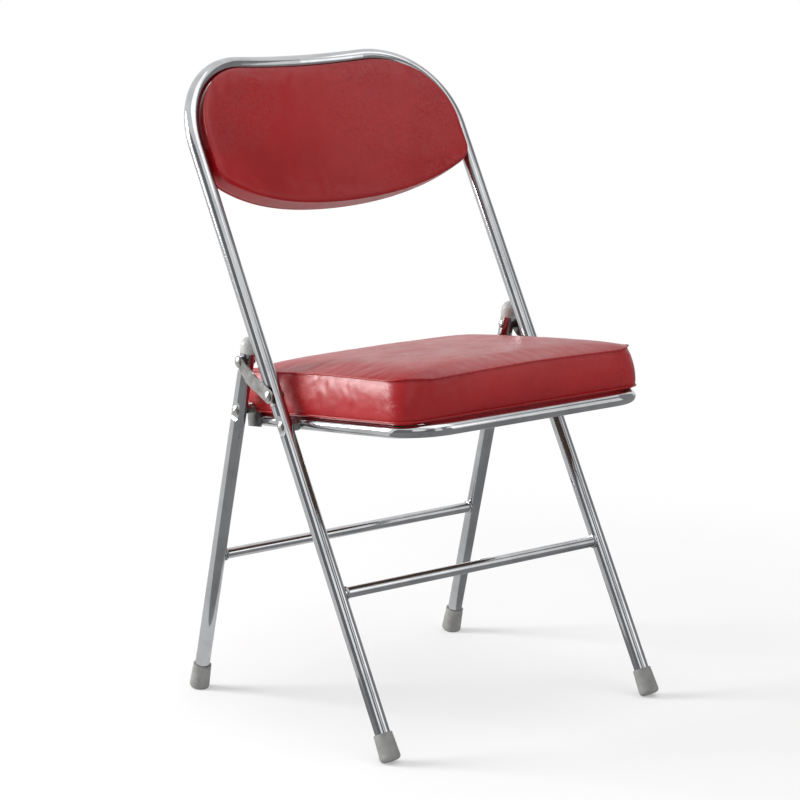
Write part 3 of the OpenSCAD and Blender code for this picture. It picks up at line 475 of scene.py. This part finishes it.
# seat cushion: metres in the seat's own frame, its low outline first
cushion = {
    "half": 0.195, "front": 0.2126, "rear": 0.114, "lowZ": 0.00835, "height": 0.0509,
    "draw": 0.0055, "lead": 0.004, "swell": 0.0025, "frontCorner": 0.032, "rounder": 0.014,
    "rearCorner": 0.024, "lift": 0.0037, "liftPower": 1.3, "crown": 0.0096, "crownPower": 9,
    "across": 76, "along": 62, "hem": 0.068, "sideFrom": 0.06732,
    "rows": (0.09, 0.12, 0.17, 0.23, 0.3, 0.38, 0.46, 0.54, 0.62, 0.7, 0.78, 0.85, 0.91,
             0.955, 0.982),
    "groove": 0.0009, "grooveWidth": 0.0035, "hemGroove": 1.2, "calm": 0.009,
    "puff": {"pressure": 3.0, "cap": 0.0022, "stiffness": 18.0, "bending": 0.6,
             "slack": 0.0018},
    "undulation": 0.0005, "topShare": 0.7, "wrinkle": 0.0006, "flatShare": 0.2,
    "crease": {"scale": 62.0, "seed": 11.0, "stretch": (1.0, 1.0, 2.2), "sharp": 3.5},
    "corner": {"in": 0.02, "back": 0.05, "reach": 0.11},
    "waves": ((1.0, 13.0, 5.0), (0.4, 27.0, 8.0)),
    "welt": 0.0011, "weltProud": 0.7, "hemWelt": 0.0012, "hemProud": 0.8,
    "lip": ((0.055, 0.0011), (0.032, 0.0027), (0.012, 0.0042)), "lipZ": 0.0079,
    "lipInset": 0.005, "recess": {"inset": 0.0058, "low": 0.0091, "high": 0.01745},
    "flap": {"drop": 0.0056, "from": 0.150, "to": 0.163}, "fill": 0.85,
}


def waved(points, waves):
    return sum(size * ripples(points, scale, seed) for size, scale, seed in waves)


def creased(points, s):
    # 1 along thin lines and 0 between them
    lines = ripples(points, s["scale"], s["seed"], s["stretch"])
    return 1 - np.minimum(1, np.abs(lines) * s["sharp"])


def cushionOutline(s, half, front, rear, draw=0.0, share=0.0):
    f, r = s["frontCorner"] + s["rounder"] * share - draw, s["rearCorner"] - draw
    frontX, frontY, rearX, rearY = half - f, f - front, half - r, rear - r
    low = np.r_[arc(-frontX, frontY, f, 225, 270), arc(frontX, frontY, f, 270, 315)]
    right = np.r_[arc(frontX, frontY, f, 315, 360), arc(rearX, rearY, r, 0, 45)]
    high = np.r_[arc(rearX, rearY, r, 45, 90), arc(-rearX, rearY, r, 90, 135)]
    left = np.r_[arc(-rearX, rearY, r, 135, 180), arc(-frontX, frontY, f, 180, 225)]
    return [evenly(low, s["across"]), evenly(right, s["along"]),
            evenly(high, s["across"]), evenly(left, s["along"])]


def makeCushion(s):
    topHalf = s["half"] - s["draw"]
    topFront, topRear = s["front"] + s["lead"], s["rear"] + s["lead"]
    middle, reach = (topRear - topFront) / 2, (topRear + topFront) / 2

    def toEdge(p):
        return (np.minimum(1, np.abs(p[..., 0]) / topHalf),
                np.minimum(1, np.abs(p[..., 1] - middle) / reach))

    def lift(p):
        across, along = toEdge(p)
        return s["lift"] * (1 - (across * along) ** s["liftPower"])

    seamZ = s["lowZ"] + s["height"]
    top = patch(*cushionOutline(s, topHalf, topFront, topRear, 0.0, 1.0)).reshape(-1, 2)
    across, along = toEdge(top)
    crown = s["crown"] * (1 - across ** s["crownPower"]) * (1 - along ** s["crownPower"])
    points = [np.c_[top, seamZ + lift(top) + crown]]
    rings = [rimOf(s["across"], s["along"])]
    faces = patchFaces(s["across"], s["along"])
    count = len(rings[0])

    def addRing(flat, z):
        first = sum(len(p) for p in points)
        points.append(np.c_[flat, np.broadcast_to(z, len(flat))])
        rings.append(list(range(first, first + count)))
        faces.extend(ringFaces(rings[-1], rings[-2]))

    for share in (*s["rows"][::-1], s["hem"]):
        swell = s["swell"] * math.sin(math.pi * share)
        flat = ringOf(cushionOutline(s, s["half"] - s["draw"] * share + swell,
                                     s["front"] + s["lead"] * share + swell,
                                     s["rear"] + s["lead"] * share + swell, 0.0, share))
        addRing(flat, s["lowZ"] + s["height"] * share + lift(flat) * share)
    hemRing, flap = rings[-1], s["flap"]
    recess = s["recess"]
    lip = [(inset, s["lowZ"] + s["height"] * share) for share, inset in s["lip"]]
    lip += [(s["lipInset"], s["lipZ"]), (recess["inset"], s["lipZ"]),
            (recess["inset"], recess["low"]), (recess["inset"], recess["high"])]
    for inset, z in lip:
        flat = ringOf(cushionOutline(s, s["half"] - inset, s["front"] - inset,
                                     s["rear"] - inset, inset))
        ahead = np.clip((flap["to"] - np.abs(flat[:, 0])) / (flap["to"] - flap["from"]), 0, 1)
        ahead *= (flat[:, 1] < 0) * (z == s["lipZ"])
        addRing(flat, z - flap["drop"] * ahead * ahead * (3 - 2 * ahead))
    faces.append(tuple(rings[-1]))
    local = np.concatenate(points)
    seam, hem = rings[0], hemRing
    held = set(seam) | set(hem) | set(range(hem[-1], len(local)))

    piece = makePiece("seatCover", toChair(local, seatPlane), faces, "seat")
    puff(piece, held, s["puff"])

    # seams draw the cover in, corners wrinkle, and the whole cover waves a little
    where = pointsOf(piece)
    way = normalsOf(piece)
    z = local[:, 2]
    topSide = np.arange(len(local)) < len(top)
    gap = edgeDistance(local[:, :2], local[seam][::2, :2])
    fromSeam = np.where(topSide, gap, np.abs(seamZ + lift(local[:, :2]) - z))
    fromHem = np.where(topSide, 1.0, np.abs(z - (s["lowZ"] + s["height"] * s["hem"])))
    groove = (np.exp(-(fromSeam / s["grooveWidth"]) ** 2)
              + s["hemGroove"] * np.exp(-(fromHem / s["grooveWidth"]) ** 2))
    free = 1 - np.exp(-(np.minimum(fromSeam, fromHem) / s["calm"]) ** 2)
    side = (~topSide) & (z > s["lowZ"] + s["height"] * s["sideFrom"])
    at = s["corner"]
    corner = np.maximum(0, 1 - np.hypot(
        np.abs(local[:, 0]) - s["half"] + at["in"],
        np.minimum(0, local[:, 1] + s["front"] - at["back"])) / at["reach"])
    move = (s["undulation"] * waved(local, s["waves"]) * free
            * np.where(topSide, s["topShare"], side)
            - s["wrinkle"] * creased(local, s["crease"]) * free * side
            * (s["flatShare"] + (1 - s["flatShare"]) * corner)
            - s["groove"] * groove)
    where = where + way * move[:, None]
    setPoints(piece, where)
    clearEars(piece, ears)
    where = pointsOf(piece)
    smoothed(piece)
    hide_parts("seat_cushion")
    print("seat cover:", len(piece.data.polygons), "faces")
    for name, ring, radius, proud in (("seatTopWelt", seam, s["welt"], s["weltProud"]),
                                      ("seatHemWelt", hem, s["hemWelt"], s["hemProud"])):
        makeWelt(name, where[ring] + way[ring] * radius * proud, radius, "seat", welt)


# where the ears and their rivets stand against the cushion's sides
ears = {"y": 0.0938, "z": 0.0149, "fore": 0.0205, "aft": 0.0095, "top": 0.0242,
        "limit": 0.1948, "tailRadius": 0.0068, "tailDepth": 0.0026, "free": 1.0}


def clearEars(piece, s):
    # holds the cover's sides back to a limit there, and further round the rivets' tails
    turn = math.radians(seatPlane["tilt"])
    p = pointsOf(piece)
    y, z = p[:, 1] - seatPlane["y"], p[:, 2] - seatPlane["z"]
    y, z = y * math.cos(turn) - z * math.sin(turn), y * math.sin(turn) + z * math.cos(turn)
    near = (y > s["y"] - s["fore"]) & (y < s["y"] + s["aft"]) & (z < s["top"])
    tail = np.maximum(0, 1 - (np.hypot(y - s["y"], z - s["z"]) / (2 * s["tailRadius"])) ** 2)
    limit = np.where(near, s["limit"], s["free"])
    behind = np.where(tail > 0, s["limit"] - s["tailDepth"] * tail, s["free"])
    p[:, 0] = np.sign(p[:, 0]) * np.minimum(np.abs(p[:, 0]), np.minimum(limit, behind))
    setPoints(piece, p)


makeCushion(cushion)
print("cushion made")

# backrest: metres in the front frame's plane, x across, y behind it, z up the tubes; the
# face stands forward of the tubes, and the shell behind it lies between them
back = {
    "face": {"half": 0.2052, "corner": 0.1056, "top": 0.913, "low": 0.7199, "rise": 0.0197,
             "curl": 0.0191, "lowCorner": 0.012},
    "shell": {"half": 0.203, "corner": 0.10335, "top": 0.91005, "low": 0.72105, "rise": 0.018,
              "curl": 0.0165, "lowCorner": 0.012},
    "sag": 0.037, "edge": 0.0208, "thick": 0.0264, "crownLow": 0.9, "round": 0.011,
    "endThin": 0.27, "across": 84, "along": 38, "curve": 240, "under": 40, "underSteps": 8,
    # share of the way from the face's edge to the shell's, inset, depth
    "wall": ((0.6, 0.0, -0.0188), (0.9, 0.0, -0.0168), (1.0, 0.0, -0.0146),
             (1.0, 0.0, -0.0105), (1.0, 0.0, -0.006), (1.0, 0.0, -0.001), (1.0, 0.0, 0.0012),
             (1.0, 0.0001, 0.003), (1.0, 0.0006, 0.0043), (1.0, 0.0018, 0.0051),
             (1.0, 0.0037, 0.0051)),
    "capInset": 0.0038,
    "puff": {"pressure": 1.5, "cap": 0.0016, "stiffness": 22.0, "bending": 0.8,
             "slack": 0.002},
    "undulation": 0.0002, "waves": ((1.0, 12.0, 21.0), (0.5, 24.0, 25.0)), "calm": 0.014,
    "wrinkle": 0.00015,
    "crease": {"scale": 24.0, "seed": 31.0, "stretch": (2.2, 1.0, 1.0), "sharp": 6.0},
    "patches": {"scale": 9.0, "seed": 37.0, "gain": 2.0}, "fill": 0.75,
    "panelFront": 0.0052, "panelBack": 0.0102, "panelInset": 0.001, "panelRound": 0.0022,
    "panelTurns": (25, 50, 75, 90), "panelStep": 0.0004, "panelCapInset": 0.0006,
    "panelFill": 0.0012, "panelSoft": 0.02, "panelWave": (0.0002, 16.0, 43.0),
    "panelCalm": 0.004,
}
back["bowRadius"] = (back["shell"]["half"] ** 2 + back["sag"] ** 2) / (2 * back["sag"])


def bow(x, s):
    return s["sag"] - s["bowRadius"] + np.sqrt(s["bowRadius"] ** 2 - x * x)


def backOutline(s, form, inset=0.0):
    half, r, c = form["half"] - inset, form["corner"] - inset, form["lowCorner"]
    shoulder = form["top"] - inset - r
    cut = c * math.sqrt(0.5)
    x = np.linspace(-half + c - cut, half - c + cut, s["curve"])
    share = x / form["half"]
    over = np.maximum(0, np.abs(x) - (half - c))
    lowZ = form["low"] + inset + form["rise"] * share ** 2 + form["curl"] * share ** 4
    low = np.c_[x, lowZ + c - np.sqrt(c * c - over ** 2)]
    sideZ = form["low"] + inset + form["rise"] + form["curl"]
    under, steps = s["under"], s["underSteps"]
    right = np.r_[low[-1:], arc(half - c, sideZ + c, c, -under, 0, steps),
                  arc(half - r, shoulder, r, 0, 45)]
    high = np.r_[arc(half - r, shoulder, r, 45, 90), arc(r - half, shoulder, r, 90, 135)]
    left = np.r_[arc(r - half, shoulder, r, 135, 180),
                 arc(c - half, sideZ + c, c, 180, 180 + under, steps), low[:1]]
    return [evenly(low, s["across"]), evenly(right, s["along"]),
            evenly(high, s["across"]), evenly(left, s["along"])]


class Shell:
    # a bowed panel: a first patch, rings round its edge, and a last patch that closes it
    def __init__(self, s, flat, depth, flip):
        self.s, self.flip = s, flip
        self.points = [np.c_[flat[:, 0], bow(flat[:, 0], s) + depth, flat[:, 1]]]
        self.faces = patchFaces(s["across"], s["along"], 0, flip)
        self.rim = rimOf(s["across"], s["along"])

    def join(self, ring):
        sides = ringFaces(ring, self.rim)
        self.faces += [face[::-1] for face in sides] if self.flip else sides
        self.rim = ring

    def addRing(self, ring, depth):
        first = sum(len(p) for p in self.points)
        self.points.append(np.c_[ring[:, 0], bow(ring[:, 0], self.s) + depth, ring[:, 1]])
        self.join(list(range(first, first + len(ring))))

    def close(self, flat, depth):
        first = sum(len(p) for p in self.points)
        self.points.append(np.c_[flat[:, 0], bow(flat[:, 0], self.s) + depth, flat[:, 1]])
        self.join(rimOf(self.s["across"], self.s["along"], first))
        self.faces += patchFaces(self.s["across"], self.s["along"], first, not self.flip)
        return np.concatenate(self.points)


def makePad(s):
    face, shell = s["face"], s["shell"]
    sides = backOutline(s, face)
    edge, flat = ringOf(sides), patch(*sides).reshape(-1, 2)
    x, z = flat.T
    lowZ = face["low"] + face["rise"] * (x / face["half"]) ** 2
    shareX, shareZ = x / face["half"], np.clip((z - lowZ) / (face["top"] - lowZ), 0, 1)
    inside = edgeDistance(flat, edge)
    eased = np.sqrt(1 - (1 - np.minimum(1, inside / s["round"])) ** 2)
    hump = 4 * (1 - shareX ** 2) * shareZ * (1 - shareZ)
    thick = s["edge"] + (s["thick"] - s["edge"]) * eased * (
        s["crownLow"] + (1 - s["crownLow"]) * hump)
    body = Shell(s, flat, -thick * (1 - s["endThin"] * shareX ** 4), False)
    for share, inset, depth in s["wall"]:
        ring = (1 - share) * edge + share * ringOf(backOutline(s, shell, inset))
        thin = s["endThin"] * (ring[:, 0] / face["half"]) ** 4 if depth < 0 else 0.0
        body.addRing(ring, depth * (1 - thin))
    local = body.close(patch(*backOutline(s, shell, s["capInset"])).reshape(-1, 2), 0.0)
    piece = makePiece("backCover", toChair(local, backPlane), body.faces, "front_frame")
    held = set(rimOf(s["across"], s["along"])) | set(range(len(flat), len(local)))
    puff(piece, held, s["puff"])
    way = normalsOf(piece)
    gap = np.r_[inside, np.zeros(len(local) - len(flat))]
    free = 1 - np.exp(-(gap / s["calm"]) ** 2)
    spots = s["patches"]
    patchy = np.clip(ripples(local, spots["scale"], spots["seed"]) * spots["gain"], 0, 1)
    move = (s["undulation"] * waved(local, s["waves"])
            - s["wrinkle"] * creased(local, s["crease"]) * patchy) * free
    setPoints(piece, pointsOf(piece) + way * move[:, None])
    smoothed(piece)
    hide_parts("backrest_pad")
    print("back cover:", len(piece.data.polygons), "faces")


def makeRearPanel(s):
    # a thin covered panel that closes the back, its edge rolled over
    r, shell = s["panelRound"], s["shell"]
    sides = backOutline(s, shell, s["panelInset"] + r)
    flat = patch(*sides).reshape(-1, 2)
    inside = edgeDistance(flat, ringOf(sides))
    fill = s["panelFill"] * (1 - np.exp(-(inside / s["panelSoft"]) ** 2))
    body = Shell(s, flat, s["panelBack"] + fill, True)
    rolled = [(r * (1 - math.sin(turn)), s["panelBack"] - r * (1 - math.cos(turn)))
              for turn in np.radians(s["panelTurns"])]
    for inset, depth in rolled + [(0.0, s["panelFront"] + s["panelStep"])]:
        body.addRing(ringOf(backOutline(s, shell, s["panelInset"] + inset)), depth)
    inner = patch(*backOutline(s, shell, s["panelInset"] + s["panelCapInset"])).reshape(-1, 2)
    local = body.close(inner, s["panelFront"])
    piece = makePiece("rearPanel", toChair(local, backPlane), body.faces, "front_frame")
    size, scale, seed = s["panelWave"]
    wave = size * ripples(local[:len(flat)], scale, seed) * (inside > s["panelCalm"])
    moved = pointsOf(piece)
    moved[:len(flat)] += normalsOf(piece)[:len(flat)] * wave[:, None]
    setPoints(piece, moved)
    smoothed(piece)
    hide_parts("backrest_rear_panel")
    print("rear panel:", len(piece.data.polygons), "faces")


makePad(back)
makeRearPanel(back)
print("backrest made")

# floor, world, lamps, and the grey cards that only shiny things see: each card is swept
# round the chair from one edge (radius, height) to the other
room = {"floor": 60.0, "tone": colour(246, 246, 246), "grit": colour(240, 240, 240),
        "ambient": 0.6, "lift": 0.3, "lit": 0.55, "white": 1.25, "aim": (0.0, 0.0, 0.4),
        "cardStep": 9}
lamps = (
    {"name": "leftLamp", "place": (-2.3, -2.1, 1.8), "size": 1.6, "power": 9.0},
    {"name": "windowLamp", "place": (-2.3, 2.2, 1.35), "size": 1.5, "power": 126.0},
    {"name": "frontLamp", "place": (1.6, -3.0, 1.6), "size": 1.4, "power": 6.0},
    {"name": "topLamp", "place": (0.3, -0.8, 2.9), "size": 2.0, "power": 14.0},
)
cards = (
    {"name": "sheet", "turns": (-100, 122), "from": (0.01, 0.001), "to": (5.5, 0.001),
     "tone": colour(142, 142, 144), "mottle": colour(154, 154, 155)},
    {"name": "litSheet", "turns": (122, 260), "from": (0.01, 0.001), "to": (5.5, 0.001),
     "tone": colour(224, 224, 224), "mottle": colour(234, 234, 233)},
    {"name": "cameraWall", "turns": (-104, -12), "from": (3.4, 0.01), "to": (3.4, 3.0),
     "tone": colour(118, 118, 121), "mottle": colour(130, 130, 132)},
    {"name": "frontWall", "turns": (4, 27), "from": (3.4, 0.01), "to": (3.4, 3.6),
     "tone": colour(140, 140, 142), "mottle": colour(154, 154, 155)},
    {"name": "rightWall", "turns": (50, 100), "from": (3.4, 0.01), "to": (3.4, 3.6),
     "tone": colour(140, 140, 142), "mottle": colour(154, 154, 155)},
)


def buildFloor(t, s):
    # lit and shadowed round the chair, and plain white further off
    seen = t.add("ShaderNodeLightPath", out="Is Camera Ray")
    tone = t.blend(t.noise(3.0, 3.0, 0.5), s["tone"], s["grit"])
    matte = t.surface(colour=tone, roughness=0.8, specular=0.0)
    white = t.add("ShaderNodeEmission", {}, {"Strength": 1.0})
    near = t.add("ShaderNodeMixShader", {}, {0: seen * s["lift"], 1: matte, 2: white})
    reach = t.add("ShaderNodeVectorMath", {"operation": "LENGTH"}, {0: t.place()}, "Value")
    share = t.fade(reach, s["lit"], s["white"])
    return t.add("ShaderNodeMixShader", {}, {0: share, 1: near, 2: white})


def buildCard(t, s):
    tone = t.blend(t.noise(2.0, 2.0, 0.5), s["tone"], s["mottle"])
    return t.add("ShaderNodeEmission", {}, {"Color": tone})


def stagePiece(name, points, faces, finish, shinyOnly=False):
    mesh = bpy.data.meshes.new(name)
    mesh.from_pydata(points, [], faces)
    mesh.materials.append(finish)
    piece = bpy.data.objects.new(name, mesh)
    bpy.context.scene.collection.objects.link(piece)
    if shinyOnly:
        piece.visible_camera = piece.visible_diffuse = piece.visible_shadow = False
        piece.visible_transmission = False


def makeCard(card):
    first, last = card["turns"]
    steps = max(2, round((last - first) / room["cardStep"]))
    turns = np.radians(np.linspace(first, last, steps + 1))
    points = [(r * math.sin(a), -r * math.cos(a), z)
              for r, z in (card["from"], card["to"]) for a in turns]
    faces = [(k, k + 1, k + steps + 2, k + steps + 1) for k in range(steps)]
    stagePiece(card["name"], points, faces, makeMaterial(card["name"], buildCard, card), True)


def makeLamp(lamp):
    data = bpy.data.lights.new(lamp["name"], "AREA")
    data.size, data.energy = lamp["size"], lamp["power"]
    light = bpy.data.objects.new(lamp["name"], data)
    light.location = lamp["place"]
    aim = Vector(room["aim"]) - Vector(lamp["place"])
    light.rotation_euler = aim.to_track_quat("-Z", "Y").to_euler()
    bpy.context.scene.collection.objects.link(light)


def makeRoom(s):
    half = s["floor"] / 2
    corners = [(-half, -half, 0), (half, -half, 0), (half, half, 0), (-half, half, 0)]
    stagePiece("floor", corners, [(0, 1, 2, 3)], makeMaterial("floor", buildFloor, s))
    world = bpy.data.worlds.new("studio")
    bpy.context.scene.world = world
    t = Tree(world)
    seen = [t.add("ShaderNodeLightPath", out="Is %s Ray" % kind)
            for kind in ("Camera", "Glossy", "Transmission")]
    share = t.add("ShaderNodeMath", {"operation": "MINIMUM"},
                  {0: seen[0] + seen[1] + seen[2], 1: 1.0})
    white = (1.0, 1.0, 1.0, 1.0)
    plain = t.add("ShaderNodeBackground", {}, {"Color": white, "Strength": s["ambient"]})
    shown = t.add("ShaderNodeBackground", {}, {"Color": white, "Strength": 1.0})
    t.add("ShaderNodeOutputWorld", {}, {
        "Surface": t.add("ShaderNodeMixShader", {}, {0: share, 1: plain, 2: shown})})
    for lamp in lamps:
        makeLamp(lamp)


for card in cards:
    makeCard(card)
makeRoom(room)
bpy.context.scene.view_settings.view_transform = "Standard"
print("room and lamps made")
